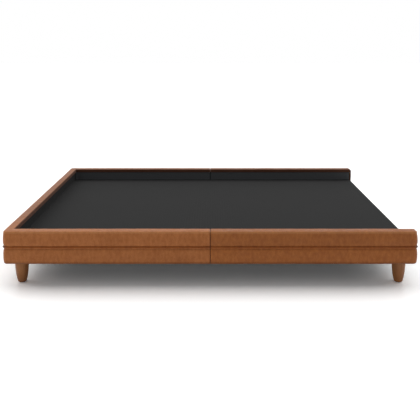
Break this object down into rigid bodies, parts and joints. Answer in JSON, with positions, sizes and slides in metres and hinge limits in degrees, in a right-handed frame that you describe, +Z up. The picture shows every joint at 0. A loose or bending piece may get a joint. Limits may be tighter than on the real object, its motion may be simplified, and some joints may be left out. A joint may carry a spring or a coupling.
{
  "type": "box spring bed",
  "caption": "Low box spring bed base in two halves with a padded leather rim on three sides, a sunken cloth-covered spring deck open at the head end, and turned wooden legs.",
  "frame": {"origin": "on the floor under the middle of the bed", "axes": "+X along the bed towards the open head end, +Y across it towards the back rail, +Z up"},
  "size_m": [2.11, 1.664, 0.285],
  "materials": {
    "saddle_leather": "satin",
    "welt_leather": "satin",
    "deck_cloth": "matte",
    "dust_cloth": "matte",
    "deck_foam": "matte",
    "pine": "raw",
    "beech": "raw",
    "stained_beech": "satin",
    "zinc_steel": "satin",
    "black_steel": "satin",
    "black_plastic": "matte"
  },
  "bodies": {
    "base": {"foot_half_upper_pad": "saddle_leather", "foot_half_lower_pad": "saddle_leather", "foot_half_welt": "welt_leather", "front_head_upper_pad": "saddle_leather", "front_head_lower_pad": "saddle_leather", "front_head_welt": "welt_leather", "back_head_upper_pad": "saddle_leather", "back_head_lower_pad": "saddle_leather", "back_head_welt": "welt_leather", "front_foot_board": "pine", "front_head_board": "pine", "back_foot_board": "pine", "back_head_board": "pine", "foot_board": "pine", "head_board": "pine", "foot_joint_board": "pine", "head_joint_board": "pine", "joint_bolt_front": "zinc_steel", "joint_bolt_back": "zinc_steel", "front_foot_corner_block": "beech", "front_foot_ledger": "pine", "front_head_corner_block": "beech", "front_head_ledger": "pine", "back_foot_corner_block": "beech", "back_foot_ledger": "pine", "back_head_corner_block": "beech", "back_head_ledger": "pine", "foot_stringer": "pine", "foot_slat_1": "pine", "foot_slat_2": "pine", "foot_slat_3": "pine", "foot_slat_4": "pine", "foot_spring_unit": "zinc_steel", "foot_dust_cover": "dust_cloth", "foot_deck_foam": "deck_foam", "head_stringer": "pine", "head_slat_1": "pine", "head_slat_2": "pine", "head_slat_3": "pine", "head_slat_4": "pine", "head_spring_unit": "zinc_steel", "head_dust_cover": "dust_cloth", "head_deck_foam": "deck_foam", "front_foot_leg": "stained_beech", "front_foot_leg_bolt": "zinc_steel", "front_foot_glide": "black_plastic", "front_head_leg": "stained_beech", "front_head_leg_bolt": "zinc_steel", "front_head_glide": "black_plastic", "back_foot_leg": "stained_beech", "back_foot_leg_bolt": "zinc_steel", "back_foot_glide": "black_plastic", "back_head_leg": "stained_beech", "back_head_leg_bolt": "zinc_steel", "back_head_glide": "black_plastic", "foot_centre_post": "black_steel", "head_centre_post": "black_steel", "deck_cover": "deck_cloth"},
    "foot_screw_foot": {"foot_centre_foot": "black_plastic"},
    "head_screw_foot": {"head_centre_foot": "black_plastic"}
  },
  "joints": [
    {"name": "foot_screw_foot_travel", "type": "slide", "parent": "base", "child": "foot_screw_foot", "axis": [0, 0, 1], "range_m": [0, 0.012]},
    {"name": "head_screw_foot_travel", "type": "slide", "parent": "base", "child": "head_screw_foot", "axis": [0, 0, 1], "range_m": [0, 0.012]}
  ]
}
